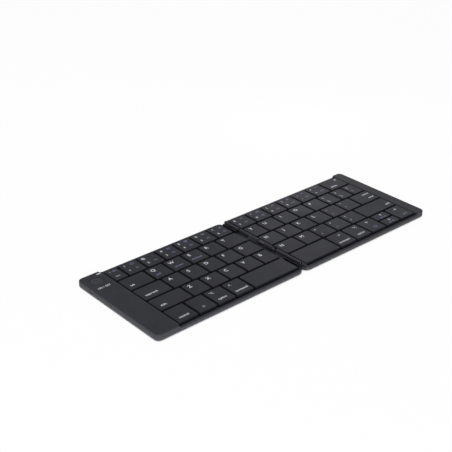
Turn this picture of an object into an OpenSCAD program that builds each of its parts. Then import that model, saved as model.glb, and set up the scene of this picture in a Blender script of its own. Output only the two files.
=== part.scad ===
// Folding keyboard that opens flat: two shallow housings joined by a split hinge, 65 keys.
// X runs along the keyboard with the hinge axis at X = 0, Y runs from front to rear,
// and Z = 0 is the surface that the feet stand on.

/* [Key layout] */
// Width of one letter key with its gap
key_pitch = 17.5; // [16:0.25:19]
// Depth of a key row with its gap
row_pitch = 17.9; // [16.5:0.1:19.5]
// Depth of the front row, which has the space keys, with its gap
front_row_pitch = 20.4; // [18:0.2:22]
// Gap between neighbouring keys
key_gap = 1.8; // [1.4:0.1:1.9]
// Gap between the keys and the frame
frame_gap = 1.5; // [1.3:0.1:1.7]
// Gap between the right half's last keys and its margin
right_frame_gap = 0.4; // [0.3:0.05:0.8]
// Width of the left half's key field, in letter keys
left_units = 6.649; // [6.55:0.001:6.9]
// Width of the right half's key field, in letter keys
right_units = 7.323; // [7.2:0.001:7.35]

/* [Key caps] */
// Plan radius of a key cap's corners
cap_corner_r = 1; // [0.5:0.1:1.5]
// Thickness of a key cap's top
cap_t = 0.9; // [0.7:0.1:1]
// Thickness of a key cap's skirt
skirt_t = 0.8; // [0.6:0.1:1]
// Chamfer around a key cap's top edge
cap_chamfer = 0.3; // [0.2:0.05:0.4]
// How far a key goes down
key_travel = 1.2; // [0.9:0.1:1.4]

/* [Housing] */
// Height of the housing from its underside to the side margins' tops
body_h = 5; // [4.8:0.1:6]
// How far the front and rear rims lie below the side margins
rim_drop = 1.7; // [1.4:0.1:1.8]
// How far the key tops lie below the side margins
key_drop = 0.2; // [0.1:0.1:0.4]
// Rim from the rear keys to the rear edge
rear_rim = 3.8; // [3.8:0.1:6]
// Rim from the front keys to the front edge
front_rim = 3.35; // [3.35:0.05:6]
// Width of the left margin, which holds the battery and the board
left_margin = 20.35; // [20:0.05:24]
// Width of the bar between the hinge gap and the keys
hinge_bar = 2.3; // [2.3:0.1:3]
// How far the left half's bar lies below the side margins, away from the hinge and its cable
sill_drop = 2.2; // [1.8:0.1:2.3]
// Thickness of the side walls
wall_t = 1.2; // [1:0.1:1.3]
// Thickness of the floor
floor_t = 1; // [0.9:0.1:1.2]
// Thickness of the margins' top
lid_t = 1; // [0.8:0.1:1.1]
// Height of the parting line above the underside
split_h = 2.4; // [2:0.1:2.6]
// Plan radius of the outer corners
outer_corner_r = 4; // [3:0.5:6]
// Plan radius of the corners beside the hinge
hinge_corner_r = 5; // [3:0.5:6]
// Chamfer along the housing's upper and lower edges
edge_chamfer = 0.5; // [0.3:0.1:0.6]
// Chamfer on each side of the parting line
seam_chamfer = 0.12; // [0.08:0.02:0.2]
// Length of the slopes from the rims up to the margins and the hinge bars
ramp = 1.5; // [0.8:0.1:2]
// Height of the rubber feet
foot_h = 0.5; // [0.4:0.1:1]
// Radius of the rubber feet
foot_r = 3.5; // [2.5:0.5:4]
// Distance from the hinge gap to the nearer feet's middle
near_foot_inset = 22; // [20:1:40]
// Distance from the outer end and from the long edges to a foot's middle
foot_inset = 12; // [10:1:16]

/* [Hinge] */
// Gap between the two open halves
hinge_gap = 1.6; // [1.6:0.1:2.2]
// Height of the hinge axis above the margins' tops, half the gap left when folded
axis_rise = 0.15; // [0.1:0.05:0.4]
// Radius of the hinge pins
pin_r = 0.5; // [0.4:0.05:0.6]
// Radius of the hinge knuckles
knuckle_r = 1.2; // [1:0.05:1.3]
// Radial clearance of the pins in the knuckles
pin_clearance = 0.03; // [0.02:0.01:0.08]
// Length of each of the two pinned hinges
hinge_len = 16; // [12:0.5:18]
// Distance from the middle of the keyboard to each pinned hinge's middle
hinge_y = 35.5; // [34:0.5:36]
// Gap between neighbouring knuckles
knuckle_gap = 0.2; // [0.1:0.05:0.4]
// Thickness of the hinge leaf's upright web
web_t = 0.8; // [0.6:0.1:0.9]
// Thickness of the hinge leaf's foot
leaf_foot_t = 0.5; // [0.4:0.05:0.6]
// Reach of the hinge leaf's foot under the keys
leaf_reach = 13; // [11:0.5:16]

/* [Cable] */
// Radius of the round cable that runs along the hinge axis
cable_r = 0.7; // [0.5:0.05:0.8]
// Radius of the sleeves around it
sleeve_r = 1.5; // [1.4:0.05:1.6]
// Radial clearance of the cable in its sleeves
cable_clearance = 0.2; // [0.15:0.05:0.25]
// Length of each cable sleeve
sleeve_len = 8; // [6:0.5:9]
// Distance from the middle of the keyboard to each sleeve
sleeve_start = 3.7; // [3:0.1:4.5]

/* [Key mechanism] */
// Thickness of the steel base plate
plate_t = 0.3; // [0.2:0.05:0.4]
// Thickness of the switch membrane
membrane_t = 0.2; // [0.15:0.05:0.25]
// Distance from a key's middle to its hooks
hook_x = 3; // [2.8:0.1:3.1]
// Thickness of the hooks stamped up from the base plate
hook_t = 0.5; // [0.4:0.05:0.6]
// Width of the hooks
hook_w = 3; // [2.4:0.2:3.4]
// Thickness of the guide clips under a key cap
clip_t = 0.8; // [0.6:0.1:0.9]
// Width of the guide clips
clip_w = 2.4; // [2:0.1:2.6]
// Side clearance of a clip on its hook and in its window
clip_clearance = 0.25; // [0.2:0.05:0.3]
// Radius of a rubber dome's foot
dome_r = 2.3; // [1.8:0.1:2.6]
// Clearance over a dome when its key is down
dome_clearance = 0.3; // [0.2:0.05:0.4]

/* [Power button and lights] */
// Radius of the round power button
button_r = 5.3; // [4.8:0.1:5.4]
// How far the power button goes down
button_travel = 0.4; // [0.2:0.05:0.4]
// Clearance around the power button
button_clearance = 0.2; // [0.15:0.05:0.3]
// Distance from the outer end to the power button's middle
button_end_inset = 10.1; // [9.6:0.1:10.5]
// Distance from the rear edge to the power button's middle
button_rear_inset = 11.1; // [10:0.1:11.2]
// Radius of the status lamp's lens
lamp_r = 1; // [0.6:0.1:1.3]
// Distance from the rear edge to the status lamp's middle
lamp_inset = 17.3; // [16.8:0.1:18]
// Width of the light window at the rear edge
window_w = 3.8; // [3:0.2:4.4]
// Depth of the light window
window_d = 1.5; // [1.2:0.1:1.8]

/* [Inside the housing] */
// Length of the battery
battery_len = 42; // [34:1:46]
// Width of the battery
battery_w = 9.8; // [8.8:0.2:10.8]
// Length of the main board
board_len = 25.5; // [25:0.1:25.8]
// Thickness of the main board
board_t = 0.8; // [0.6:0.1:1]
// Width of the micro USB socket's shell
socket_w = 7.6; // [7.5:0.1:8]
// Height of the micro USB socket's shell
socket_h = 2.6; // [2.4:0.1:2.7]
// Depth of the micro USB socket's shell
socket_len = 5.2; // [5:0.1:5.6]
// Distance from the rear edge to the socket's middle
socket_inset = 18.4; // [18.2:0.1:19.5]
// Radius of the closing magnets
magnet_r = 1.8; // [1.5:0.1:2]
// Radius of the screws' shanks
screw_r = 0.6; // [0.5:0.05:0.7]
// Radius of the screws' heads
screw_head_r = 1.2; // [1.1:0.05:1.3]

/* [Hidden] */
$fn = 32;
fit = 0.1;                      // play between parts that are put together without force
slot = 0.05;                    // play around small parts that seat closely
over = 1;                       // how far a cut runs past a face

// Heights
underside = foot_h;
floor_z = underside + floor_t;
plate_z = floor_z + plate_t;
membrane_z = plate_z + membrane_t;
split_z = underside + split_h;
top_z = underside + body_h;
rim_z = top_z - rim_drop;
sill_z = top_z - sill_drop;
lid_z = top_z - lid_t;
axis_z = top_z + axis_rise;
key_top_z = top_z - key_drop;

// Keys: the cap's skirt stops just above the membrane when the key is down
skirt_z = membrane_z + fit + key_travel;
cap_h = key_top_z - skirt_z;
clip_z = floor_z + fit + key_travel;
hook_z = key_top_z - cap_t - key_travel - fit;
dome_top_z = key_top_z - cap_t - key_travel - dome_clearance;

// Plan
gap_x = hinge_gap / 2;
well_x = gap_x + hinge_bar;
key_x = well_x + frame_gap;
left_field = left_units * key_pitch - key_gap;
right_field = right_units * key_pitch - key_gap;
left_margin_x = key_x + left_field + frame_gap;
right_margin_x = key_x + right_field + right_frame_gap;
half_length = left_margin_x + left_margin;
key_depth = row_pitch - key_gap;
front_key_depth = front_row_pitch - key_gap;
body_depth = rear_rim + key_depth + 3 * row_pitch + front_row_pitch + front_rim;
rear_y = body_depth / 2;
well_rear_y = rear_y - rear_rim + frame_gap;
well_front_y = front_rim - frame_gap - rear_y;
lip_t = 0.5;                    // frame's lip that holds the membrane and plate down
leaf_x = well_x - 0.2;          // inner face of the hinge leaf's web
cable_pad_y = sleeve_start + sleeve_len + 0.3;
cable_bend_r = 1.5;
cable_slot = 3.2;               // width of the slot that lets the cable into each half

// Things in the left margin, as distances from the hinge axis and from the middle
button_pos = [half_length - button_end_inset, rear_y - button_rear_inset];
lamp_pos = [left_margin_x + 4.8, rear_y - lamp_inset];
window_pos = [left_margin_x + 3.1, rear_y - 3.3];
socket_y = rear_y - socket_inset;
board_x = left_margin_x + 1;
board_y = rear_y - wall_t - 0.9 - board_len;
board_z = floor_z + 0.5;
board_top = board_z + board_t;
socket_z = board_z - 0.3;
switch_top = board_top + 0.6;
battery_x = left_margin_x + lip_t + 1;
battery_y = board_y - 13 - battery_len;
board_posts = [[board_x + 8, board_y + 1.5], [half_length - 3.5, board_y + 1.5],
               [board_x + 8, rear_y - 4.5], [half_length - 6, rear_y - 4.5]];
magnet_x = half_length - wall_t - 3.2;
magnet_h = 2;
magnet_y = [board_y - 2.6, 10.3 - rear_y];
screw_x = half_length - wall_t - 3.6;
left_screw_y = [board_y - 8, -rear_y + 4.4];
right_screw_y = [rear_y - 4.4, -rear_y + 4.4];
boss_r = 2.1;
ribbon_t = 0.2;
ribbon_w = 4;

// Rows from rear to front: each key's name and its width in letter keys.
// The last key of a row fills the rest of the field.
LEFT_ROWS = [
    [["escape", 0.724], ["1", 1], ["2", 1], ["3", 1], ["4", 1], ["5", 1], ["6"]],
    [["tab", 1.38], ["q", 1], ["w", 1], ["e", 1], ["r", 1], ["t"]],
    [["caps", 1.504], ["a", 1], ["s", 1], ["d", 1], ["f", 1], ["g"]],
    [["shift", 1.744], ["z", 1], ["x", 1], ["c", 1], ["v", 1], ["b"]],
    [["control", 1.084], ["function", 1], ["option", 1], ["command", 1], ["space_left"]],
];
RIGHT_ROWS = [
    [["7", 1.05], ["8", 1], ["9", 1], ["0", 1], ["minus", 1], ["equals", 1], ["backspace"]],
    [["y", 0.87], ["u", 1], ["i", 1], ["o", 1], ["p", 1],
        ["bracket_open", 0.87], ["bracket_close", 0.83], ["backslash"]],
    [["h", 1.05], ["j", 1], ["k", 1], ["l", 1], ["semicolon", 1], ["quote", 1], ["enter"]],
    [["n", 1.25], ["m", 1], ["comma", 1], ["period", 1], ["slash", 1], ["shift"]],
    [["space_right", 2.25], ["command", 1.07], ["option", 1], ["left", 1], ["up_down", 1],
        ["right"]],
];

function last_row(r) = r == len(LEFT_ROWS) - 1;
function row_depth(r) = last_row(r) ? front_key_depth : key_depth;
function row_y(r) = last_row(r)
    ? well_front_y + frame_gap
    : rear_y - rear_rim - key_depth - r * row_pitch;
function units_before(row, i) = i == 0 ? 0 : row[i - 1][1] + units_before(row, i - 1);

// A key's place: [name, row, left edge, front edge, width, depth]
function place(rows, x, units, r, i) =
    let (before = units_before(rows[r], i),
         width = i == len(rows[r]) - 1 ? units - before : rows[r][i][1])
    [rows[r][i][0], r, x + before * key_pitch, row_y(r), width * key_pitch - key_gap, row_depth(r)];

// The up and down keys share one place, one behind the other
function half_depth(k) = (k[5] - key_gap) / 2;
function split_pair(k) = k[0] != "up_down" ? [k] : [
    ["down", k[1], k[2], k[3], k[4], half_depth(k)],
    ["up", k[1], k[2], k[3] + half_depth(k) + key_gap, k[4], half_depth(k)]];

function keys(rows, x, units) = [for (r = [0:len(rows) - 1], i = [0:len(rows[r]) - 1])
    each split_pair(place(rows, x, units, r, i))];

LEFT_KEYS = keys(LEFT_ROWS, -key_x - left_field, left_units);
RIGHT_KEYS = keys(RIGHT_ROWS, key_x, right_units);

function is_letter(name) = len(name) == 1 && ord(name) >= ord("a");
function is_space(name) = name == "space_left" || name == "space_right";
function moves_alone(k) = is_letter(k[0]) || is_space(k[0]);
function key_node(k) = is_space(k[0]) ? k[0] : str("key_", k[0]);

// Long keys have three mechanisms, the others have one
function site_offsets(k) = k[4] > 1.9 * key_pitch ? [-k[4] / 3, 0, k[4] / 3] : [0];
function sites(k) = [for (dx = site_offsets(k)) [k[2] + k[4] / 2 + dx, k[3] + k[5] / 2]];

// ---- Shared shapes. Each half is drawn on the +X side, and the left one is mirrored. ----

module left_side() {
    mirror([1, 0, 0]) children();
}

// Puts a copy at each of the two pinned hinges
module at_hinges() {
    for (y = [-hinge_y, hinge_y]) translate([0, y, 0]) children();
}

module block(x, y, z) {
    translate([x[0], y[0], z[0]]) cube([x[1] - x[0], y[1] - y[0], z[1] - z[0]]);
}

// Lower and upper end of a length around its middle
function around(middle, size) = [middle - size / 2, middle + size / 2];

// Section of a slab from its middle out to its side face at reach, chamfered below and above
module edge_section(reach, z, below, above) {
    low = below > 0 ? [[reach - below, z[0]], [reach, z[0] + below]] : [[reach, z[0]]];
    high = above > 0 ? [[reach, z[1] - above], [reach - above, z[1]]] : [[reach, z[1]]];
    polygon(concat([[0, z[0]]], low, high, [[0, z[1]]]));
}

// Slab with upright rounded corners, with its own radius at the near and the far end
module rounded_slab(x, y, near_r, far_r, z, below = 0, above = 0) {
    near = x[0] + near_r;
    far = x[1] - far_r;
    for (side = [0, 1]) {
        sign = 2 * side - 1;
        translate([near, y[side] - sign * near_r, 0])
            rotate_extrude() edge_section(near_r, z, below, above);
        translate([far, y[side] - sign * far_r, 0])
            rotate_extrude() edge_section(far_r, z, below, above);
        translate([near, (y[0] + y[1]) / 2, 0]) rotate([90, 0, 90]) linear_extrude(far - near)
            mirror([1 - side, 0]) edge_section((y[1] - y[0]) / 2, z, below, above);
    }
    translate([near, y[0] + near_r, 0]) rotate([90, 0, 180])
        linear_extrude(y[1] - y[0] - 2 * near_r) edge_section(near_r, z, below, above);
    translate([far, y[1] - far_r, 0]) rotate([90, 0, 0])
        linear_extrude(y[1] - y[0] - 2 * far_r) edge_section(far_r, z, below, above);
}

// Slab with the plan of one half, drawn in by inset
module half_slab(z, inset = 0, below = 0, above = 0) {
    rounded_slab([gap_x + inset, half_length - inset], [inset - rear_y, rear_y - inset],
                 hinge_corner_r - inset, outer_corner_r - inset, z, below, above);
}

// Opening around one half's keys, made larger by grow
module well_plan(margin_x, grow = 0) {
    translate([well_x - grow, well_front_y - grow])
        square([margin_x - well_x + 2 * grow, well_rear_y - well_front_y + 2 * grow]);
}

// ---- Housing ----

// Cut for the socket in the outer wall, and for the plug's shroud
module socket_cut() {
    block([half_length - socket_len - slot, half_length + over],
          around(socket_y, socket_w + 2 * slot), [socket_z - slot, socket_z + socket_h + slot]);
}

module screw_hole(x, y) {
    translate([x, y, underside - over]) cylinder(r = screw_r + slot, h = over + floor_t + over);
    translate([x, y, underside]) screw_head(slot);
}

module screw_head(play = 0) {
    cylinder(r1 = screw_head_r + play, r2 = screw_r + play, h = leaf_foot_t);
}

function leaf_screws() = [for (y = [-5, 5]) [leaf_reach - 3.5, y]];

module bottom_case(margin_screws, side) {
    difference() {
        half_slab([underside, split_z], below = edge_chamfer, above = seam_chamfer);
        half_slab([floor_z, top_z], inset = wall_t);
        for (y = margin_screws) screw_hole(screw_x, y);
        at_hinges() {
            for (p = leaf_screws()) screw_hole(p[0], p[1]);
            block([gap_x + wall_t, leaf_reach + fit], [-1, 1] * (hinge_len / 2 + fit),
                  [floor_z - leaf_foot_t, floor_z + over]);
        }
        cable_entry(side);
        children();
    }
}

// Cut in a half's wall and bar that lets the cable in from the hinge axis
module cable_entry(side) {
    y = side * (cable_pad_y + cable_bend_r);
    block([-over, well_x + 0.2], around(y, cable_slot), [membrane_z - 0.1, top_z + over]);
}

// Low ring around the keys with raised margin and hinge bar, hollow under the margin
module top_frame(margin_x, side) {
    sleeve_y = side * (sleeve_start + sleeve_len / 2);
    difference() {
        union() {
            difference() {
                half_slab([split_z, rim_z], below = seam_chamfer, above = edge_chamfer);
                translate([0, 0, split_z - over]) linear_extrude(body_h) well_plan(margin_x);
            }
            intersection() {
                half_slab([split_z, top_z], below = seam_chamfer, above = edge_chamfer);
                union() {
                    raised_margin(margin_x);
                    raised_bar(raised_span(side));
                }
            }
            well_lip(margin_x);
        }
        margin_hollow(margin_x);
        if (side > 0) sill_cut();
        at_hinges() leaf_cut();
        translate([0, -sleeve_y, 0])
            block([-over, gap_x + 1.2], [-1, 1] * (sleeve_len / 2 + knuckle_gap),
                  [axis_z - sleeve_r - 0.25, top_z + over]);
        cable_entry(side);
        children();
    }
    translate([0, sleeve_y, 0]) cable_sleeve();
}

// Lip around the keys that reaches down to the membrane inside the housing's wall
module well_lip(margin_x) {
    intersection() {
        half_slab([membrane_z, split_z + over / 2], inset = wall_t + slot);
        linear_extrude(top_z) difference() {
            well_plan(margin_x, lip_t);
            well_plan(margin_x);
        }
    }
}

// Margin with upright sides along the keys, and slopes from the front and rear rims
module raised_margin(margin_x) {
    block([margin_x, half_length], [well_front_y, well_rear_y], [split_z, top_z]);
    translate([0, rear_y, 0]) rotate([90, 0, 0]) linear_extrude(2 * rear_y)
        polygon([[margin_x, split_z], [margin_x, rim_z - edge_chamfer],
                 [margin_x + ramp, top_z], [half_length, top_z], [half_length, split_z]]);
}

// The right half's bar is raised all along, the left half's only beside its cable sleeve
function raised_span(side) = side < 0 ? [well_front_y, well_rear_y]
    : [sleeve_start, sleeve_start + sleeve_len];

// Raised bar beside the hinge, with a slope at each end
module raised_bar(y) {
    rotate([90, 0, 90]) linear_extrude(well_x)
        polygon([[y[0] - ramp, split_z], [y[0] - ramp, rim_z - edge_chamfer],
                 [y[0], top_z], [y[1], top_z],
                 [y[1] + ramp, rim_z - edge_chamfer], [y[1] + ramp, split_z]]);
}

// Cut that leaves a low sill of the bar in front of its raised part and behind it
module sill_cut() {
    span = raised_span(1);
    for (y = [[well_front_y, span[0] - ramp], [span[1] + ramp, well_rear_y]])
        block([-over, well_x + over / 2], y, [sill_z, top_z + over]);
}

// Hollow under the raised margin, from the wall to the frame's lip
module margin_hollow(margin_x) {
    intersection() {
        half_slab([split_z - over, lid_z], inset = wall_t);
        block([margin_x + lip_t, half_length], [-rear_y, rear_y], [split_z - over, lid_z]);
    }
}

// Cut that clears a hinge leaf and the other half's knuckles
module leaf_cut() {
    y = [-1, 1] * (hinge_len / 2 + knuckle_gap);
    block([gap_x + wall_t, well_x + over / 2], y, [membrane_z - 0.1, top_z + over]);
    block([-over, well_x], y, [axis_z - knuckle_r - 0.3, top_z + over]);
}

// Sleeve of the frame around the cable, with the arm that carries it
module cable_sleeve() {
    difference() {
        union() {
            along_y(sleeve_r, sleeve_len);
            block([0, gap_x + over / 2], [-1, 1] * sleeve_len / 2,
                  [axis_z - sleeve_r, top_z]);
        }
        along_y(cable_r + cable_clearance, sleeve_len + 2 * over);
    }
}

// Rod along the hinge axis, centred on its own middle
module along_y(r, len) {
    translate([0, len / 2, axis_z]) rotate([90, 0, 0]) cylinder(r = r, h = len);
}

module screw_boss(y) {
    translate([screw_x, y, floor_z + slot]) difference() {
        cylinder(r = boss_r, h = lid_z - floor_z);
        translate([0, 0, -over]) cylinder(r = screw_r + slot, h = lid_z - floor_z);
    }
}

module left_bottom_case() {
    color("#2b2c31") left_side() bottom_case(left_screw_y, 1) {
        socket_cut();
        ribbon_channel(left_margin_x + 6);
        block([left_margin_x + 1, left_margin_x + 6],
              [cable_pad_y - slot, board_y + 4],
              [floor_z - 2 * ribbon_t, floor_z + over]);
    }
    color("#2b2c31") left_side() {
        battery_tray();
        for (p = board_posts) translate([p[0], p[1], floor_z])
            cylinder(r = 1.2, h = board_z - floor_z);
    }
}

// Low walls that hold the battery in place
module battery_tray() {
    difference() {
        block([battery_x - 0.9, battery_x + battery_w + 0.9],
              [battery_y - 0.9, battery_y + battery_len + 0.9], [floor_z, floor_z + 1.2]);
        block([battery_x - fit, battery_x + battery_w + fit],
              [battery_y - fit, battery_y + battery_len + fit], [floor_z, top_z]);
    }
}

// Shallow channel in the floor for the flat part of the cable, on the side where it enters
module ribbon_channel(length, side = 1) {
    y = side * (cable_pad_y + cable_bend_r);
    block([gap_x + wall_t, length], around(y, ribbon_w + 2 * slot),
          [floor_z - 2 * ribbon_t, floor_z + over]);
}

module right_bottom_case() {
    color("#2b2c31") bottom_case(right_screw_y, -1) ribbon_channel(leaf_reach + slot, -1);
}

module left_top_frame() {
    color("#33343a") left_side() {
        top_frame(left_margin_x, 1) {
            socket_cut();
            translate([button_pos[0], button_pos[1], lid_z - over])
                cylinder(r = button_r + button_clearance, h = lid_t + 2 * over);
            translate([lamp_pos[0], lamp_pos[1], lid_z - over])
                cylinder(r = lamp_r + slot, h = lid_t + 2 * over);
            window_block(slot, lid_z - over, top_z + over);
        }
        for (y = left_screw_y) screw_boss(y);
        magnet_cups();
    }
}

module right_top_frame() {
    color("#33343a") {
        top_frame(right_margin_x, -1);
        for (y = right_screw_y) screw_boss(y);
        magnet_cups();
    }
}

// Rings under the margin's top that hold the magnets
module magnet_cups() {
    for (y = magnet_y) translate([magnet_x, y, lid_z - 1]) difference() {
        cylinder(r = magnet_r + 0.7, h = 1);
        translate([0, 0, -over]) cylinder(r = magnet_r + slot, h = 1 + over);
    }
}

module magnets() {
    for (y = magnet_y) translate([magnet_x, y, lid_z - magnet_h])
        cylinder(r = magnet_r, h = magnet_h);
}

module magnets_left() { color("silver") left_side() magnets(); }

module magnets_right() { color("silver") magnets(); }

// Two rows of round feet near the corners of each half
module feet() {
    for (x = [gap_x + near_foot_inset, half_length - foot_inset],
         y = [-1, 1] * (rear_y - foot_inset))
        translate([x, y, 0]) cylinder(r = foot_r, h = foot_h);
}

module left_feet() { color("#1a1a1c") left_side() feet(); }

module right_feet() { color("#1a1a1c") feet(); }

module screw(x, y, shank_top) {
    translate([x, y, underside]) {
        screw_head();
        cylinder(r = screw_r, h = shank_top - underside);
    }
}

module screws(margin_screws) {
    for (y = margin_screws) screw(screw_x, y, lid_z - over);
    at_hinges() for (p = leaf_screws()) screw(p[0], p[1], floor_z);
}

module left_screws() { color("#3c3c40") left_side() screws(left_screw_y); }

module right_screws() { color("#3c3c40") screws(right_screw_y); }

// ---- Hinge ----

// One leaf: foot under the keys, upright web, and an arm with a knuckle at each span of ys
module hinge_leaf(ys) {
    leaf_y = [-1, 1] * hinge_len / 2;
    difference() {
        union() {
            block([leaf_x - web_t, leaf_reach], leaf_y, [floor_z - leaf_foot_t, floor_z]);
            block([leaf_x - web_t, leaf_x], leaf_y, [floor_z - leaf_foot_t, top_z]);
            for (y = ys) {
                block([0, leaf_x], y, [axis_z - knuckle_r + slot, top_z]);
                translate([0, (y[0] + y[1]) / 2, 0]) along_y(knuckle_r, y[1] - y[0]);
            }
        }
        along_y(pin_r + pin_clearance, hinge_len + 2 * over);
        for (p = leaf_screws()) translate([p[0], p[1], 0])
            cylinder(r = screw_r + slot / 2, h = floor_z + over);
    }
}

knuckle_len = (hinge_len - 2 * knuckle_gap) / 3;
outer_knuckles = [[-hinge_len / 2, knuckle_len - hinge_len / 2],
                  [hinge_len / 2 - knuckle_len, hinge_len / 2]];
middle_knuckle = [[-knuckle_len / 2, knuckle_len / 2]];

module hinge_leaf_left() {
    color("#4a4b50") left_side() at_hinges() hinge_leaf(outer_knuckles);
}

module hinge_leaf_right() {
    color("#4a4b50") at_hinges() hinge_leaf(middle_knuckle);
}

module hinge_pins() {
    color("silver") at_hinges() along_y(pin_r, hinge_len);
}

// Cable from the end of its straight stretch down into a half, and its solder pad
module cable_drop() {
    run = axis_z - membrane_z - 0.4;
    translate([0, cable_pad_y, axis_z]) rotate([0, -45, 0]) translate([-cable_bend_r, 0, 0]) {
        rotate_extrude(angle = 90) translate([cable_bend_r, 0]) circle(cable_r);
        translate([0, cable_bend_r, 0]) rotate([0, -90, 0])
            cylinder(r = cable_r, h = run * sqrt(2) - cable_bend_r);
    }
    block([-well_x + 0.15, -well_x + 0.9], around(cable_pad_y + cable_bend_r, 2.6),
          [floor_z - 2 * ribbon_t, membrane_z + 0.6]);
}

module ribbon(length) {
    block([-length, -well_x + 0.9], around(cable_pad_y + cable_bend_r, ribbon_w),
          [floor_z - 2 * ribbon_t, floor_z - ribbon_t]);
}

module hinge_cable() {
    straight = [-sleeve_start - sleeve_len + fit, cable_pad_y];
    end_x = left_margin_x + 5.5;
    color("#151517") {
        translate([0, (straight[0] + straight[1]) / 2, 0])
            along_y(cable_r, straight[1] - straight[0]);
        cable_drop();
        ribbon(end_x);
        block([-end_x, -end_x + ribbon_w],
              [cable_pad_y + cable_bend_r, board_y + 3],
              [floor_z - 2 * ribbon_t, floor_z - ribbon_t]);
        block([-end_x, -end_x + ribbon_w], [board_y + 0.5, board_y + 3],
              [floor_z - 2 * ribbon_t, board_z]);
    }
}

module hinge_cable_tail() {
    color("#151517") rotate([0, 0, 180]) {
        translate([0, cable_pad_y - 0.1, 0]) along_y(cable_r, 0.2);
        cable_drop();
        ribbon(leaf_reach);
    }
}

// ---- Key mechanism ----

// Windows beside the hooks, where the clips dip in
module clip_windows(k) {
    x0 = hook_x + hook_t;
    window = clip_t + 2 * clip_clearance;
    for (p = sites(k), side = [-1, 1])
        translate([p[0] + side * (x0 + window / 2), p[1]])
            square([window, clip_w + 2 * clip_clearance], center = true);
}

// Sheet under one half's keys, with rounded corners where it meets the housing's wall
module field_sheet(z, thick, key_list, margin_x, side) {
    difference() {
        mirror([side > 0 ? 0 : 1, 0, 0]) intersection() {
            half_slab([z, z + thick], inset = wall_t + fit);
            block([well_x - slot, margin_x + lip_t - fit],
                  [well_front_y - lip_t + fit, well_rear_y + lip_t - fit], [z, z + thick]);
        }
        translate([0, 0, z - over]) linear_extrude(thick + 2 * over)
            for (k = key_list) clip_windows(k);
    }
}

// Plate with two hooks stamped up for each mechanism
module base_plate(key_list, margin_x, side) {
    field_sheet(floor_z, plate_t, key_list, margin_x, side);
    for (k = key_list, p = sites(k), side = [-1, 1])
        translate([p[0] + side * (hook_x + hook_t / 2), p[1], (floor_z + hook_z) / 2])
            cube([hook_t, hook_w, hook_z - floor_z], center = true);
}

// Sheet with a slot for each hook and the clip beside it
module membrane(key_list, margin_x, side) {
    difference() {
        field_sheet(plate_z, membrane_t, key_list, margin_x, side);
        for (k = key_list, p = sites(k), side = [-1, 1])
            translate([p[0] + side * (hook_x + hook_t / 2), p[1], plate_z])
                cube([hook_t + 2 * slot, hook_w + 2 * slot, 2 * over], center = true);
    }
}

module domes(key_list) {
    for (k = key_list, p = sites(k)) translate([p[0], p[1], membrane_z])
        cylinder(r1 = dome_r, r2 = dome_r * 0.6, h = dome_top_z - membrane_z);
}

module left_base_plate() { color("#8f9296") base_plate(LEFT_KEYS, left_margin_x, -1); }

module right_base_plate() { color("#8f9296") base_plate(RIGHT_KEYS, right_margin_x, 1); }

module left_membrane() { color("#3d6b55") membrane(LEFT_KEYS, left_margin_x, -1); }

module right_membrane() { color("#3d6b55") membrane(RIGHT_KEYS, right_margin_x, 1); }

module left_domes() { color("#d8d8d4") domes(LEFT_KEYS); }

module right_domes() { color("#d8d8d4") domes(RIGHT_KEYS); }

// ---- Keys ----

// Hollow cap with a chamfered top, and two clips that slide beside each pair of hooks
module key_cap(k) {
    w = k[4];
    d = k[5];
    mid = [k[2] + w / 2, k[3] + d / 2];
    difference() {
        rounded_slab([k[2], k[2] + w], [k[3], k[3] + d], cap_corner_r, cap_corner_r,
                     [skirt_z, key_top_z], above = cap_chamfer);
        translate([mid[0], mid[1], skirt_z - over]) linear_extrude(cap_h - cap_t + over)
            square([w - 2 * skirt_t, d - 2 * skirt_t], center = true);
    }
    clip_x = hook_x + hook_t + clip_clearance + clip_t / 2;
    for (p = sites(k), side = [-1, 1])
        translate([p[0] + side * clip_x, p[1], (clip_z + key_top_z - cap_t) / 2])
            cube([clip_t, clip_w, key_top_z - cap_t - clip_z], center = true);
}

module key_row(key_list, row) {
    color("#3a3b41") for (k = key_list) if (k[1] == row) key_cap(k);
}

module modifier_keys(key_list) {
    color("#3a3b41") for (k = key_list) if (k[1] > 0 && !moves_alone(k)) key_cap(k);
}

module left_number_keys() { key_row(LEFT_KEYS, 0); }

module right_number_keys() { key_row(RIGHT_KEYS, 0); }

module left_modifier_keys() { modifier_keys(LEFT_KEYS); }

module right_modifier_keys() { modifier_keys(RIGHT_KEYS); }

// ---- Electronics in the left margin ----

module battery() {
    color("#b9bcc2") left_side()
        block([battery_x, battery_x + battery_w], [battery_y, battery_y + battery_len],
              [floor_z, lid_z - 0.3]);
}

module main_board() {
    color("#1f5a3c") left_side() difference() {
        block([board_x, half_length - wall_t - 0.4], [board_y, board_y + board_len],
              [board_z, board_top]);
        socket_cut();
    }
}

// Thin metal shell, open towards the outer wall, with the contact tongue inside
module usb_socket() {
    shell = 0.3;
    back = half_length - socket_len;
    color("#a9adb3") left_side() {
        difference() {
            block([back, half_length - 0.2], around(socket_y, socket_w),
                  [socket_z, socket_z + socket_h]);
            block([back + shell, half_length], around(socket_y, socket_w - 2 * shell),
                  [socket_z + shell, socket_z + socket_h - shell]);
        }
        block([back, half_length - 1.2], around(socket_y, 3.8),
              around(socket_z + socket_h / 2, 0.6));
    }
}

// Flat cap, a flange under the margin's top and a stem over the switch
module power_button() {
    flange_z = lid_z - slot - 0.4;
    stem_z = switch_top + button_travel + slot;
    color("#3a3b41") left_side() translate([button_pos[0], button_pos[1], 0]) {
        translate([0, 0, flange_z]) {
            cylinder(r = button_r, h = top_z - 0.1 - flange_z);
            cylinder(r = button_r + button_clearance + 0.3, h = 0.4);
        }
        translate([0, 0, stem_z]) cylinder(r = 1.4, h = flange_z - stem_z + slot);
    }
}

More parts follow.
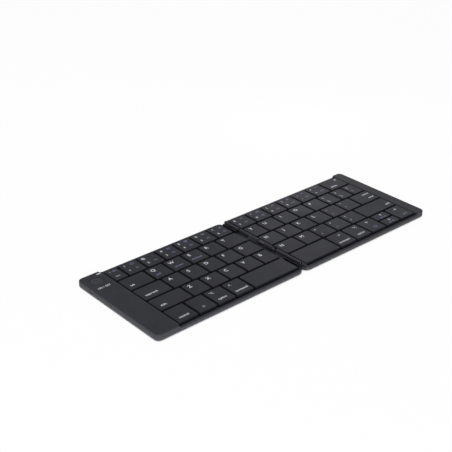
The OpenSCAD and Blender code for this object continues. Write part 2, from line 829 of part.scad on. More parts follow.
module power_switch() {
    color("silver") left_side() translate([button_pos[0], button_pos[1], board_top]) {
        translate([-1.7, -1.7, 0]) cube([3.4, 3.4, 0.4]);
        cylinder(r = 0.9, h = switch_top - board_top);
    }
}

module status_lens() {
    color("white") left_side() translate([lamp_pos[0], lamp_pos[1], board_top])
        cylinder(r = lamp_r, h = top_z - slot - board_top);
}

module window_block(play, z0, z1) {
    block(around(window_pos[0], window_w + 2 * play), around(window_pos[1], window_d + 2 * play),
          [z0, z1]);
}

module light_window() {
    color("white") left_side() window_block(0, board_top, top_z - slot);
}

left_bottom_case();
left_top_frame();
left_base_plate();
left_membrane();
left_domes();
left_feet();
left_screws();
right_bottom_case();
right_top_frame();
right_base_plate();
right_membrane();
right_domes();
right_feet();
right_screws();
hinge_leaf_left();
hinge_leaf_right();
hinge_pins();
hinge_cable();
hinge_cable_tail();
battery();
main_board();
usb_socket();
power_button();
power_switch();
status_lens();
light_window();
magnets_left();
magnets_right();
left_number_keys();
left_modifier_keys();
right_number_keys();
right_modifier_keys();
for (k = concat(LEFT_KEYS, RIGHT_KEYS)) if (moves_alone(k))
    color("#3a3b41") key_cap(k);
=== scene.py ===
import math

import bpy
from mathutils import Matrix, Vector


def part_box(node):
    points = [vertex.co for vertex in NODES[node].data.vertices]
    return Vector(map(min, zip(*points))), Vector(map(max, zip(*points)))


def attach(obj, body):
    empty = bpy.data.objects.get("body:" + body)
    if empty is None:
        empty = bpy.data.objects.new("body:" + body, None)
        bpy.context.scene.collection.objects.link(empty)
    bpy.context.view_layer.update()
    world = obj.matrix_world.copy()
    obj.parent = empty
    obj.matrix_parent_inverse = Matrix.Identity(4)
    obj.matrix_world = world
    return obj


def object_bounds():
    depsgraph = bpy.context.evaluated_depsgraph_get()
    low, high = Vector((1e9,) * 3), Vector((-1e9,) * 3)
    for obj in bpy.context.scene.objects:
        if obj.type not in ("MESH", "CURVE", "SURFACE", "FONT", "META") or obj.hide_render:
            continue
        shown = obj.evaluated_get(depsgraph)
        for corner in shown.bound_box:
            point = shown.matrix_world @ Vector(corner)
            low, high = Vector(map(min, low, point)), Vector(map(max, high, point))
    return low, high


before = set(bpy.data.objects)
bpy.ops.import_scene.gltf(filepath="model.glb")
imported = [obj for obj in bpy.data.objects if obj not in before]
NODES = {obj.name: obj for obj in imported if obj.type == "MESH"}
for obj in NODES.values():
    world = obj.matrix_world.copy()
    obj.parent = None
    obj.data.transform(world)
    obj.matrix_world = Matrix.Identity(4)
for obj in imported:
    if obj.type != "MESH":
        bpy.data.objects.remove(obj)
CAD_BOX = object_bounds()
MM = 0.001
LETTERS = "qwertyuiopasdfghjklzxcvbnm"

# ---- Shader helpers --------------------------------------------------------------------


def new_material(name):
    mat = bpy.data.materials.new(name)
    mat.use_nodes = True
    return mat, mat.node_tree.nodes, mat.node_tree.links


def noise(nodes, links, coord, scale, detail, rough=0.55):
    """Noise at the coordinates coord, with about scale cells in a metre."""
    node = nodes.new("ShaderNodeTexNoise")
    node.inputs["Scale"].default_value = scale
    node.inputs["Detail"].default_value = detail
    node.inputs["Roughness"].default_value = rough
    links.new(coord, node.inputs["Vector"])
    return node.outputs["Fac"]


def map_range(nodes, links, value, lo, hi, to_lo, to_hi):
    """The value taken from the range lo to hi to the range to_lo to to_hi, and held in it."""
    node = nodes.new("ShaderNodeMapRange")
    node.inputs["From Min"].default_value = lo
    node.inputs["From Max"].default_value = hi
    node.inputs["To Min"].default_value = to_lo
    node.inputs["To Max"].default_value = to_hi
    links.new(value, node.inputs["Value"])
    return node.outputs["Result"]


def mix_color(nodes, links, factor, a, b):
    """Colour a where factor is 0 and b where it is 1. Each is a tuple or a socket."""
    node = nodes.new("ShaderNodeMix")
    node.data_type = "RGBA"
    links.new(factor, node.inputs["Factor"])
    for socket, value in ((node.inputs["A"], a), (node.inputs["B"], b)):
        if isinstance(value, tuple):
            socket.default_value = (*value, 1.0)
        else:
            links.new(value, socket)
    return node.outputs["Result"]


def math_op(nodes, links, operation, a, b=None):
    """Result of one Math node. a and b are numbers or sockets."""
    node = nodes.new("ShaderNodeMath")
    node.operation = operation
    for socket, value in zip(node.inputs, (a, b)):
        if isinstance(value, (int, float)):
            socket.default_value = value
        elif value is not None:
            links.new(value, socket)
    return node.outputs["Value"]


def add_bump(nodes, links, height, strength, depth):
    bump = nodes.new("ShaderNodeBump")
    bump.inputs["Strength"].default_value = strength
    bump.inputs["Distance"].default_value = depth * MM
    links.new(height, bump.inputs["Height"])
    links.new(bump.outputs["Normal"], nodes["Principled BSDF"].inputs["Normal"])


def scaled(color, share):
    return tuple(c * share for c in color)


# ---- Materials -------------------------------------------------------------------------

NOISE_RANGE = 0.3, 0.7      # most noise values lie between these
FLAT, SHARP = 0.995, 0.86   # cosines of the turn where a worn edge starts and where it is full
MOTTLE_SCALE = 90.0         # cells in a metre of the faint mottling of plastic
RUBBED_SCALE = 28.0         # and of its larger rubbed areas
WORN_EDGE = 0.25            # width of the lighter edges in mm
OUTER_WALL = 1.2            # depth of the zone along the outline that is outer wall and gets painted table light, in mm
DULL_METAL = 0.8            # share of the colour in the darker streaks of metal
THIN_INK = 0.86             # share of the colour where ink is thin


def edge_mask(nodes, links, radius):
    """About 1 where the surface turns within radius, 0 on flat ground."""
    bevel_node = nodes.new("ShaderNodeBevel")
    bevel_node.samples = 4
    bevel_node.inputs["Radius"].default_value = radius
    geometry = nodes.new("ShaderNodeNewGeometry")
    dot = nodes.new("ShaderNodeVectorMath")
    dot.operation = "DOT_PRODUCT"
    links.new(bevel_node.outputs["Normal"], dot.inputs[0])
    links.new(geometry.outputs["Normal"], dot.inputs[1])
    return map_range(nodes, links, dot.outputs["Value"], FLAT, SHARP, 0.0, 1.0)


def moulded(name, color, rough, grain, depth, worn=None, vary=0.18, specular=0.5):
    """Moulded plastic or rubber: grain of the given size and depth in mm, mottled by the
    share vary, partly rubbed smoother, and with edges of the colour worn if it is given."""
    mat, nodes, links = new_material(name)
    shader = nodes["Principled BSDF"]
    coord = nodes.new("ShaderNodeTexCoord").outputs["Object"]
    fine = noise(nodes, links, coord, 1.0 / (grain * MM), 2.0)
    mottle = noise(nodes, links, coord, MOTTLE_SCALE, 4.0)
    rubbed = noise(nodes, links, coord, RUBBED_SCALE, 5.0, 0.65)

    tone = map_range(nodes, links, mottle, 0.32, 0.68, 0.0, 1.0)
    base = mix_color(nodes, links, tone, scaled(color, 1 - vary), scaled(color, 1 + vary))
    if worn:
        edge = edge_mask(nodes, links, WORN_EDGE * MM)
        patchy = map_range(nodes, links, rubbed, 0.35, 0.6, 0.15, 0.6)
        factor = math_op(nodes, links, "MULTIPLY", edge, patchy)
        base = mix_color(nodes, links, factor, base, worn)
    links.new(base, shader.inputs["Base Color"])
    links.new(map_range(nodes, links, rubbed, *NOISE_RANGE, rough - 0.05, rough + 0.05),
              shader.inputs["Roughness"])
    shader.inputs["Specular IOR Level"].default_value = specular
    add_bump(nodes, links, fine, 0.6, depth)
    return mat


def overlay(mat, factor, color):
    """Covers the material's base colour with another where factor is 1."""
    nodes, links = mat.node_tree.nodes, mat.node_tree.links
    base = nodes["Principled BSDF"].inputs["Base Color"]
    links.new(mix_color(nodes, links, factor, base.links[0].from_socket, color), base)


def painted_wall_light(mat, color):
    """Paints light onto the upright faces along the keyboard's outline: a paler colour that stands
    in for light bounced up from the white table.
    """
    nodes, links = mat.node_tree.nodes, mat.node_tree.links
    coord = nodes.new("ShaderNodeTexCoord")
    place = nodes.new("ShaderNodeSeparateXYZ")
    facing = nodes.new("ShaderNodeSeparateXYZ")
    links.new(coord.outputs["Object"], place.inputs["Vector"])
    links.new(coord.outputs["Normal"], facing.inputs["Vector"])
    past = []
    for axis, reach in (("X", CAD_BOX[1][0]), ("Y", CAD_BOX[1][1])):
        distance = math_op(nodes, links, "ABSOLUTE", place.outputs[axis])
        past.append(math_op(nodes, links, "SUBTRACT", distance, reach - OUTER_WALL * MM))
    outer = math_op(nodes, links, "GREATER_THAN", math_op(nodes, links, "MAXIMUM", *past), 0)
    level = math_op(nodes, links, "ABSOLUTE", facing.outputs["Z"])
    upright = map_range(nodes, links, level, 0.45, 0.9, 1.0, 0.0)
    overlay(mat, math_op(nodes, links, "MULTIPLY", outer, upright), color)


def painted_rim_shade(mat, middle, start, end, color):
    """Paints shade onto a round piece about an upright axis: none up to the radius start, all from
    end.
    """
    nodes, links = mat.node_tree.nodes, mat.node_tree.links
    coord = nodes.new("ShaderNodeTexCoord")
    flat = nodes.new("ShaderNodeVectorMath")
    flat.operation = "MULTIPLY"
    flat.inputs[1].default_value = (1, 1, 0)
    links.new(coord.outputs["Object"], flat.inputs[0])
    reach = nodes.new("ShaderNodeVectorMath")
    reach.operation = "DISTANCE"
    reach.inputs[1].default_value = middle
    links.new(flat.outputs["Vector"], reach.inputs[0])
    overlay(mat, map_range(nodes, links, reach.outputs["Value"], start, end, 0.0, 1.0), color)


def metal(name, color, rough, streak=(1, 1, 1), scale=700.0):
    """Stamped or plated metal, streaked along the axes that have a small factor."""
    mat, nodes, links = new_material(name)
    shader = nodes["Principled BSDF"]
    shader.inputs["Metallic"].default_value = 1.0
    coord = nodes.new("ShaderNodeTexCoord")
    mapping = nodes.new("ShaderNodeMapping")
    mapping.inputs["Scale"].default_value = streak
    links.new(coord.outputs["Object"], mapping.inputs["Vector"])
    grain = noise(nodes, links, mapping.outputs["Vector"], scale, 4.0, 0.5)
    tone = map_range(nodes, links, grain, *NOISE_RANGE, 0.0, 1.0)
    links.new(mix_color(nodes, links, tone, scaled(color, DULL_METAL), color),
              shader.inputs["Base Color"])
    links.new(map_range(nodes, links, grain, *NOISE_RANGE, rough, rough + 0.15),
              shader.inputs["Roughness"])
    add_bump(nodes, links, grain, 0.3, 0.01)
    return mat


def print_ink(name, color):
    """Pad-printed ink: matt, with a slightly uneven coat."""
    mat, nodes, links = new_material(name)
    shader = nodes["Principled BSDF"]
    coord = nodes.new("ShaderNodeTexCoord").outputs["Object"]
    coat = noise(nodes, links, coord, 2500.0, 3.0)
    tone = map_range(nodes, links, coat, *NOISE_RANGE, 0.0, 1.0)
    links.new(mix_color(nodes, links, tone, scaled(color, THIN_INK), color),
              shader.inputs["Base Color"])
    shader.inputs["Roughness"].default_value = 0.55
    return mat


WORN_BLACK = (0.05, 0.05, 0.058)

CASE = moulded("case_plastic", (0.030, 0.030, 0.034), rough=0.55, grain=0.16, depth=0.02,
               worn=(0.08, 0.08, 0.088), vary=0.07, specular=0.2)
# Painted light: the case's outer walls get a paler colour, standing in for light bounced up from
# the white table.
painted_wall_light(CASE, (0.064, 0.065, 0.072))
FRAME_TOP = moulded("frame_plastic", (0.018, 0.0185, 0.023), rough=0.55, grain=0.14, depth=0.016,
                    worn=WORN_BLACK, vary=0.1, specular=0.1)
# Painted light: the frame's outer walls get a paler colour, standing in for light bounced up from
# the white table.
painted_wall_light(FRAME_TOP, (0.058, 0.059, 0.066))
KEYCAP = moulded("keycap_plastic", (0.013, 0.0135, 0.018), rough=0.50, grain=0.10, depth=0.010,
                 worn=WORN_BLACK, specular=0.1)
BUTTON = moulded("button_plastic", (0.022, 0.0225, 0.034), rough=0.46, grain=0.10, depth=0.008,
                 worn=WORN_BLACK, specular=0.12)
BUTTON_LOW, BUTTON_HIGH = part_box("power_button")
BUTTON_MIDDLE = ((BUTTON_LOW[0] + BUTTON_HIGH[0]) / 2, (BUTTON_LOW[1] + BUTTON_HIGH[1]) / 2, 0)
# Painted shade: the power button's rim goes near black, standing in for the shade in the gap round
# it.
painted_rim_shade(BUTTON, BUTTON_MIDDLE, 4.5 * MM, 5.0 * MM, (0.003, 0.003, 0.004))
FOOT = moulded("foot_rubber", (0.012, 0.012, 0.013), rough=0.75, grain=0.3, depth=0.03)
CABLE = moulded("cable_jacket", (0.010, 0.010, 0.011), rough=0.60, grain=0.2, depth=0.02)
DOME = moulded("dome_silicone", (0.55, 0.55, 0.52), rough=0.5, grain=0.3, depth=0.01, vary=0.05)
MEMBRANE = moulded("membrane_film", (0.008, 0.010, 0.010), rough=0.40, grain=0.5, depth=0.004,
                   specular=0.15)
BOARD = moulded("board_mask", (0.01, 0.07, 0.035), rough=0.3, grain=0.6, depth=0.01)
LENS = moulded("lens_diffuser", (0.38, 0.39, 0.42), rough=0.35, grain=0.5, depth=0.004, vary=0.03)
LAMP = moulded("lamp_diffuser", (0.006, 0.006, 0.008), rough=0.30, grain=0.5, depth=0.004,
               vary=0.05, specular=0.15)
PLATE = metal("plate_steel", (0.42, 0.43, 0.45), 0.35, streak=(0.1, 1, 1))
HINGE = metal("hinge_plated", (0.022, 0.022, 0.026), 0.45, streak=(1, 0.2, 1), scale=1200.0)
PIN = metal("pin_steel", (0.6, 0.6, 0.62), 0.25, streak=(1, 0.1, 1), scale=1500.0)
SCREW = metal("screw_black", (0.05, 0.05, 0.055), 0.35)
SHELL = metal("socket_shell", (0.5, 0.5, 0.52), 0.3, streak=(0.2, 1, 1), scale=900.0)
FOIL = metal("battery_foil", (0.6, 0.6, 0.62), 0.4, scale=150.0)
INKS = {"white": print_ink("white_ink", (0.56, 0.565, 0.615)),
        "blue": print_ink("blue_ink", (0.11, 0.115, 0.23)),
        "grey": print_ink("grey_ink", (0.26, 0.26, 0.29))}


def bevel(obj, width):
    mod = obj.modifiers.new("edge", "BEVEL")
    mod.width = width * MM
    mod.segments = 3
    mod.limit_method = "ANGLE"
    mod.angle_limit = math.radians(35)
    mod.harden_normals = True


def dress(material, names, edge=0.0):
    """Gives CAD nodes their material, and edges rounded over the width edge in mm, if any."""
    for name in names:
        obj = NODES[name]
        obj.data.materials.clear()
        obj.data.materials.append(material)
        if edge:
            bevel(obj, edge)


KEY_NODES = ["key_" + c for c in LETTERS] + [
    "space_left", "space_right", "left_number_keys", "right_number_keys",
    "left_modifier_keys", "right_modifier_keys"]
dress(CASE, ["left_bottom_case", "right_bottom_case"], edge=0.12)
dress(FRAME_TOP, ["left_top_frame", "right_top_frame"], edge=0.15)
dress(KEYCAP, KEY_NODES, edge=0.12)
dress(BUTTON, ["power_button"], edge=0.15)
dress(FOOT, ["left_feet", "right_feet"], edge=0.12)
dress(CABLE, ["hinge_cable", "hinge_cable_tail"])
dress(DOME, ["left_domes", "right_domes"])
dress(MEMBRANE, ["left_membrane", "right_membrane"])
dress(BOARD, ["main_board"])
dress(LENS, ["light_window"])
dress(LAMP, ["status_lens"])
dress(PLATE, ["left_base_plate", "right_base_plate"])
dress(HINGE, ["hinge_leaf_left", "hinge_leaf_right"], edge=0.08)
dress(PIN, ["hinge_pins", "magnets_left", "magnets_right", "power_switch"])
dress(SCREW, ["left_screws", "right_screws"])
dress(SHELL, ["usb_socket"])
dress(FOIL, ["battery"])

# ---- Signs, drawn in a unit square -----------------------------------------------------


def open_line(*points):
    return False, list(points)


def filled(*points):
    return True, list(points)


def arc(cx, cy, r, start=0, end=360, steps=14):
    angles = [math.radians(start + (end - start) * i / steps) for i in range(steps + 1)]
    return [(cx + r * math.cos(a), cy + r * math.sin(a)) for a in angles]


def turned(line, quarter):
    """A line turned about the middle of the unit square by quarter turns."""
    for _ in range(quarter):
        line = [(1 - y, x) for x, y in line]
    return line


def arrow(quarter):
    """An arrow that points to the left, turned by quarter turns."""
    lines = [(0.1, 0.5), (0.9, 0.5)], [(0.4, 0.8), (0.1, 0.5), (0.4, 0.2)]
    return [open_line(*turned(line, quarter)) for line in lines]


def sun(r):
    """A disc of radius r with eight rays."""
    rays = [open_line(*((0.5 + reach * math.cos(a), 0.5 + reach * math.sin(a))
                        for reach in (0.34, 0.5)))
            for a in (i * math.pi / 4 for i in range(8))]
    return [filled(*arc(0.5, 0.5, r)[:-1])] + rays


def waves(*radii_and_steps):
    """Sound waves to the right of a speaker."""
    return [open_line(*arc(0.5, 0.5, r, -50, 50, steps)) for r, steps in radii_and_steps]


SQUARE = open_line((0.3, 0.3), (0.7, 0.3), (0.7, 0.7), (0.3, 0.7), (0.3, 0.3))
CORNER_LOOP = arc(0.16, 0.16, 0.14, 0, -270)
SPEAKER = filled((0.05, 0.35), (0.25, 0.35), (0.5, 0.1), (0.5, 0.9), (0.25, 0.65), (0.05, 0.65))
SKIP = [[(0.45, 0.15), (0.45, 0.85), (0.0, 0.5)], [(0.95, 0.15), (0.95, 0.85), (0.5, 0.5)]]
SIGNS = {
    "loops": [SQUARE] + [open_line(*turned(CORNER_LOOP, q)) for q in range(4)],
    "switch": [open_line((0, 0.85), (0.3, 0.85), (0.7, 0.15), (1, 0.15)),
               open_line((0.65, 0.85), (1, 0.85))],
    "left": arrow(0),
    "down": arrow(1),
    "right": arrow(2),
    "up": arrow(3),
    "home": [open_line((0, 0.5), (0.5, 1), (1, 0.5)),
             open_line((0.18, 0.4), (0.18, 0), (0.82, 0), (0.82, 0.4))],
    "dim": sun(0.12),
    "bright": sun(0.22),
    "find": [open_line(*arc(0.4, 0.6, 0.32)), open_line((0.64, 0.36), (1, 0))],
    "panel": [open_line((0, 0.2), (1, 0.2), (1, 0.8), (0, 0.8), (0, 0.2)),
              open_line((0.25, 0.4), (0.75, 0.4))],
    "back": [filled(*line) for line in SKIP],
    "play": [filled((0.0, 0.1), (0.0, 0.9), (0.55, 0.5)), open_line((0.68, 0.12), (0.68, 0.88)),
             open_line((0.92, 0.12), (0.92, 0.88))],
    "next": [filled(*((1 - x, y) for x, y in line)) for line in SKIP],
    "mute": [SPEAKER, open_line((0.65, 0.35), (0.95, 0.65)), open_line((0.65, 0.65), (0.95, 0.35))],
    "quiet": [SPEAKER] + waves((0.25, 5)),
    "loud": [SPEAKER] + waves((0.22, 5), (0.44, 6)),
    "lock": [filled((0.15, 0), (0.85, 0), (0.85, 0.5), (0.15, 0.5)),
             open_line(*arc(0.5, 0.55, 0.25, 0, 180, 7))],
}
STROKE = 0.16           # width of a sign's lines


def shape_sign(sign):
    """Flat faces of a sign: one for each filled outline and each piece of an open line."""
    points, faces = [], []
    for is_filled, line in sign:
        if is_filled:
            faces.append(tuple(range(len(points), len(points) + len(line))))
            points += line
            continue
        for (x0, y0), (x1, y1) in zip(line, line[1:]):
            length = math.hypot(x1 - x0, y1 - y0)
            dx, dy = (x1 - x0) / length * STROKE / 2, (y1 - y0) / length * STROKE / 2
            faces.append(tuple(range(len(points), len(points) + 4)))
            points += [(x0 - dx + dy, y0 - dy - dx), (x1 + dx + dy, y1 + dy - dx),
                       (x1 + dx - dy, y1 + dy + dx), (x0 - dx - dy, y0 - dy + dx)]
    return points, faces


# ---- Legends ---------------------------------------------------------------------------

CAP_HEIGHT = 0.729      # height of the font's capitals at size 1
LIFT = 0.02             # height of the ink over the surface, in mm
shapes = {}             # points and faces of each word and sign at size 1
printed = {}            # vertices and faces of the ink of each colour on each body


def shape_word(word):
    """Flat faces of a word at size 1: its baseline starts at 0, 0."""
    curve = bpy.data.curves.new("word", "FONT")
    curve.body = word
    curve.resolution_u = 3
    curve.offset = 0.02
    obj = bpy.data.objects.new("word", curve)
    mesh = bpy.data.meshes.new_from_object(obj)
    points = [(v.co.x, v.co.y) for v in mesh.vertices]
    faces = [tuple(p.vertices) for p in mesh.polygons]
    bpy.data.objects.remove(obj)
    bpy.data.meshes.remove(mesh)
    bpy.data.curves.remove(curve)
    return points, faces


def mark(body, box, what, x, y, size, ink="white"):
    """Prints a word or sign on a key, all in mm. x is from the left side to the mark's middle,
    or if negative from the right side to its end. y is from the front, or if negative the rear."""
    if what not in shapes:
        shapes[what] = shape_sign(SIGNS[what]) if what in SIGNS else shape_word(what)
    points, faces = shapes[what]
    low, high = min(p[0] for p in points), max(p[0] for p in points)
    height = 1.0 if what in SIGNS else CAP_HEIGHT
    middle = box[0] + x if x >= 0 else box[2] + x - (high - low) / 2 * size
    row = box[1] + y if y >= 0 else box[3] + y
    verts, polys = printed.setdefault((body, ink), ([], []))
    start = len(verts)
    for px, py in points:
        verts.append(((middle + (px - (low + high) / 2) * size) * MM,
                      (row + (py - height / 2) * size) * MM, (box[4] + LIFT) * MM))
    polys += [tuple(start + i for i in face) for face in faces]


def cap_box(node):
    """Box of a node with one key, in mm as (x0, y0, x1, y1, top)."""
    low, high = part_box(node)
    return low[0] / MM, low[1] / MM, high[0] / MM, high[1] / MM, high[2] / MM


CAP_CHAMFER = 0.3       # chamfer of the CAD caps in mm, from their top faces to their sides
SAME_LEVEL = 1e-5       # most that a vertex of a top face may be under the top, in m


def cap_boxes(node):
    """Such boxes for each key of a node, from its top faces, rear row first."""
    mesh = NODES[node].data
    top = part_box(node)[1][2]
    group = {}          # for each vertex of a top face, all the vertices of its key's top
    for poly in mesh.polygons:
        level = all(top - mesh.vertices[i].co.z <= SAME_LEVEL for i in poly.vertices)
        if poly.normal.z < 0.9 or not level:
            continue
        joined = set(poly.vertices)
        for other in {id(group[i]): group[i] for i in poly.vertices if i in group}.values():
            joined |= other
        for i in joined:
            group[i] = joined
    boxes = []
    for cap in {id(g): g for g in group.values()}.values():
        xs = [mesh.vertices[i].co.x / MM for i in cap]
        ys = [mesh.vertices[i].co.y / MM for i in cap]
        boxes.append((min(xs) - CAP_CHAMFER, min(ys) - CAP_CHAMFER,
                      max(xs) + CAP_CHAMFER, max(ys) + CAP_CHAMFER, top / MM))
    return sorted(boxes, key=lambda b: (-round(b[1] + b[3], 0), b[0]))


# Sizes of the legends in mm, and the rows of their middles, from the front or the rear side
LETTER, WORD, DIGIT, SMALL, SIGN = 4.6, 3.0, 3.3, 2.8, 2.8
UPPER, LOWER, WORD_ROW = -3.3, 5.5, 5.2
NUMBERS = [("!", "1", "home"), ("@", "2", "find"), ("#", "3", "dim"), ("$", "4", "bright"),
           ("%", "5", "panel"), ("^", "6", "lock"), ("&", "7", "back"), ("*", "8", "play"),
           ("(", "9", "next"), (")", "0", "mute"), ("_", "-", "quiet"), ("+", "=", "loud")]
PAIRS = [("{", "["), ("}", "]"), ("|", "\\"), (":", ";"), ('"', "'"), None,
         ("<", ","), (">", "."), ("?", "/")]


def print_letter_keys():
    for letter in LETTERS:
        node = "key_" + letter
        mark(node, cap_box(node), letter.upper(), 4.8, -4.2, LETTER)
    for letter, label, x in (("q", "pad", 5.0), ("w", "phone", 7.0), ("e", "desktop", 7.2)):
        node = "key_" + letter
        mark(node, cap_box(node), label, x, WORD_ROW, WORD, "blue")


def print_number_row():
    left, right = cap_boxes("left_number_keys"), cap_boxes("right_number_keys")
    escape, delete = left[0], right[6]
    mark("left_half", escape, "esc", 4.8, LOWER - 0.3, 3.0, "grey")
    mark("left_half", escape, "left", 3.2, UPPER, 2.0, "grey")
    mark("left_half", escape, "panel", 7.0, UPPER, SIGN, "blue")
    keys = [("left_half", box) for box in left[1:]] + [("right_half", box) for box in right[:6]]
    for i, ((half, box), (shifted, plain, sign)) in enumerate(zip(keys, NUMBERS)):
        mark(half, box, shifted, 3.6, UPPER, DIGIT)
        mark(half, box, plain, 3.6, LOWER, DIGIT)
        mark(half, box, sign, 10.5, UPPER, SIGN, "blue")
        mark(half, box, "F%d" % (i + 1), 10.4, LOWER, SMALL, "blue")
    mark("right_half", delete, "delete", 6.7, LOWER - 1.1, WORD)
    mark("right_half", delete, "lock", 16.5, -3.0, 2.6)


def print_left_modifiers():
    tab, caps, shift, control, function, option, command = cap_boxes("left_modifier_keys")
    for legend in ((tab, "tab", 5.0, WORD_ROW, WORD),
                   (caps, "caps lock", 9.0, WORD_ROW, WORD),
                   (shift, "shift", 5.9, WORD_ROW, WORD),
                   (control, "control", 7.9, WORD_ROW, WORD),
                   (function, "fn", 7.2, WORD_ROW, WORD, "grey"),
                   (option, "switch", 4.6, -4.0, 3.0),
                   (option, "option", 7.0, WORD_ROW, WORD),
                   (command, "loops", 4.0, -4.2, 3.0),
                   (command, "command", 7.8, WORD_ROW, WORD)):
        mark("left_half", *legend)


def print_right_modifiers():
    boxes = cap_boxes("right_modifier_keys")
    for box, pair in zip(boxes, PAIRS):
        if pair:
            mark("right_half", box, pair[0], 3.3, UPPER - 0.2, DIGIT)
            mark("right_half", box, pair[1], 3.3, LOWER, DIGIT)
    enter, shift = boxes[5], boxes[9]
    front_row = sorted(boxes[10:], key=lambda b: (round(b[0]), b[1]))
    command, option, left, down, up, right = front_row
    for legend in ((enter, "return", -1.2, -4.2, WORD),
                   (enter, "enter", -1.2, WORD_ROW, WORD),
                   (shift, "shift", -1.2, WORD_ROW, WORD),
                   (command, "loops", 11.2, -4.4, 3.0),
                   (command, "command", 7.9, WORD_ROW, WORD),
                   (option, "switch", 11.0, -4.2, 3.0),
                   (option, "option", 8.6, WORD_ROW, WORD),
                   (left, "left", 7.9, -4.2, 3.2),
                   (left, "home", 8.6, WORD_ROW, 3.2, "blue"),
                   (up, "up", 9.0, -3.0, 3.0),
                   (up, "pg up", 8.6, 2.0, WORD, "blue"),
                   (down, "down", 8.4, -2.5, 3.0),
                   (down, "pg dn", 8.2, 2.6, WORD, "blue"),
                   (right, "right", 8.2, -4.2, 3.2),
                   (right, "end", 9.2, WORD_ROW - 0.7, 3.2, "blue")):
        mark("right_half", *legend)


def print_button_label():
    """ON / OFF on the left margin, in front of the button."""
    margin_top = 5.5
    box = (BUTTON_LOW[0] / MM, None, BUTTON_HIGH[0] / MM, BUTTON_LOW[1] / MM, margin_top)
    mark("left_half", box, "ON / OFF", 5.5, -4.4, 2.65)


def make_legends():
    """One piece of ink for each body and colour."""
    for (body, ink), (verts, polys) in printed.items():
        mesh = bpy.data.meshes.new("legend")
        mesh.from_pydata(verts, [], polys)
        mesh.materials.append(INKS[ink])
        legend = bpy.data.objects.new("legend_%s_%s" % (ink, body), mesh)
        bpy.context.scene.collection.objects.link(legend)
        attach(legend, body)


print_letter_keys()
print_number_row()
print_left_modifiers()
print_right_modifiers()
print_button_label()
make_legends()

# ---- Camera ----------------------------------------------------------------------------

EYE = Vector((-0.4736, -0.5001, 0.3901))
HEADING = math.radians(41.11)   # from +Y towards +X
DOWN = math.radians(28.24)
FOCAL_PX = 1001.2
IMAGE_PX = 452
SENSOR = 36.0

cam_data = bpy.data.cameras.new("camera")
cam_data.sensor_width = SENSOR
cam_data.lens = FOCAL_PX / IMAGE_PX * SENSOR
cam_data.clip_start = 0.01
cam_data.clip_end = 50.0
cam = bpy.data.objects.new("camera", cam_data)
bpy.context.scene.collection.objects.link(cam)
cam.location = EYE
cam.rotation_euler = (math.pi / 2 - DOWN, 0.0, -HEADING)
bpy.context.scene.camera = cam

# ---- Floor and light -------------------------------------------------------------------

WHITE = (1.0, 1.0, 1.0, 1.0)
FLOOR_REACH = 6.0
FLOOR_DROP = 0.0001     # depth of the floor under the feet, so that no faces coincide
SHADOW_REACH = 0.004    # the floor keeps its shadow within this distance of the object
GLOW = 0.92             # share of plain white elsewhere on the floor
LIGHTS = [              # name, place, target, width and height, power in W
    ("key_light", (-0.5, 0.1, 1.5), (0, 0, 0), (1.2, 1.2), 12.6),
    ("fill_light", (-0.95, -1.2, 0.4), (0, 0, 0), (1.0, 0.6), 13.0),
    ("rear_light", (1.25, 0.6, 0.6), (0.1, 0, 0), (0.6, 0.5), 0.84),
    ("rear_card", (0.235, 0.19, 0.115), (0.07, 0.035, 0), (0.12, 0.08), 0.051)]


def seen_ray(nodes, links):
    """1 for rays that show the background: straight from the camera, mirrored or let through."""
    path = nodes.new("ShaderNodeLightPath")
    seen = path.outputs["Is Camera Ray"]
    for name in ("Is Glossy Ray", "Is Transmission Ray"):
        seen = math_op(nodes, links, "MAXIMUM", seen, path.outputs[name])
    return seen


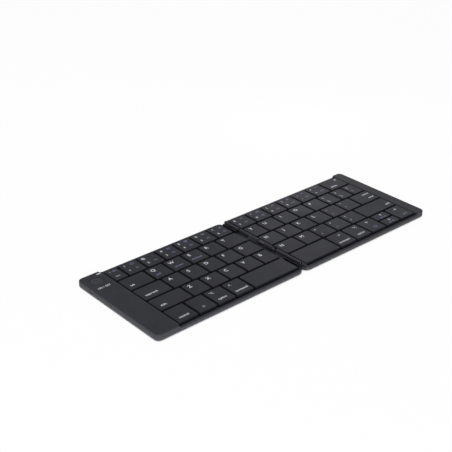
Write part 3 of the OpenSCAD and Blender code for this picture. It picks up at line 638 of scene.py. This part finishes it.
def floor_material():
    """White table that glows for seen rays, but keeps the object's shadow close to it."""
    mat, nodes, links = new_material("table_white")
    shader = nodes["Principled BSDF"]
    shader.inputs["Base Color"].default_value = (0.93, 0.93, 0.94, 1.0)
    shader.inputs["Roughness"].default_value = 0.7
    shader.inputs["Specular IOR Level"].default_value = 0.2
    glow = nodes.new("ShaderNodeEmission")
    glow.inputs["Color"].default_value = WHITE
    hidden = nodes.new("ShaderNodeAmbientOcclusion")
    hidden.inputs["Distance"].default_value = SHADOW_REACH
    open_sky = map_range(nodes, links, hidden.outputs["AO"], 0.15, 0.55, 0.0, GLOW)
    mix = nodes.new("ShaderNodeMixShader")
    links.new(math_op(nodes, links, "MULTIPLY", seen_ray(nodes, links), open_sky),
              mix.inputs["Fac"])
    links.new(shader.outputs["BSDF"], mix.inputs[1])
    links.new(glow.outputs["Emission"], mix.inputs[2])
    links.new(mix.outputs["Shader"], nodes["Material Output"].inputs["Surface"])
    return mat


def make_floor():
    mesh = bpy.data.meshes.new("table")
    corners = [(-1, -1), (1, -1), (1, 1), (-1, 1)]
    mesh.from_pydata([(x * FLOOR_REACH, y * FLOOR_REACH, 0) for x, y in corners],
                     [], [(0, 1, 2, 3)])
    table = bpy.data.objects.new("table", mesh)
    bpy.context.scene.collection.objects.link(table)
    table.location.z = -FLOOR_DROP
    mesh.materials.append(floor_material())


def area_light(name, location, target, size, power):
    data = bpy.data.lights.new(name, "AREA")
    data.shape = "RECTANGLE"
    data.size, data.size_y = size
    data.energy = power
    obj = bpy.data.objects.new(name, data)
    obj.visible_camera = False
    bpy.context.scene.collection.objects.link(obj)
    obj.location = location
    aim = Vector(target) - Vector(location)
    obj.rotation_euler = aim.to_track_quat("-Z", "Y").to_euler()


def make_world(sky, backdrop):
    """White world that lights with the strength sky and is seen with the strength backdrop."""
    world = bpy.data.worlds.new("world")
    bpy.context.scene.world = world
    world.use_nodes = True
    nodes, links = world.node_tree.nodes, world.node_tree.links
    mix = nodes.new("ShaderNodeMixShader")
    links.new(seen_ray(nodes, links), mix.inputs["Fac"])
    shown = nodes.new("ShaderNodeBackground")
    for node, strength, socket in ((nodes["Background"], sky, mix.inputs[1]),
                                   (shown, backdrop, mix.inputs[2])):
        node.inputs["Color"].default_value = WHITE
        node.inputs["Strength"].default_value = strength
        links.new(node.outputs["Background"], socket)
    links.new(mix.outputs["Shader"], nodes["World Output"].inputs["Surface"])


make_floor()
for light in LIGHTS:
    area_light(*light)
make_world(sky=0.42, backdrop=1.0)

bpy.context.scene.view_settings.view_transform = "Standard"
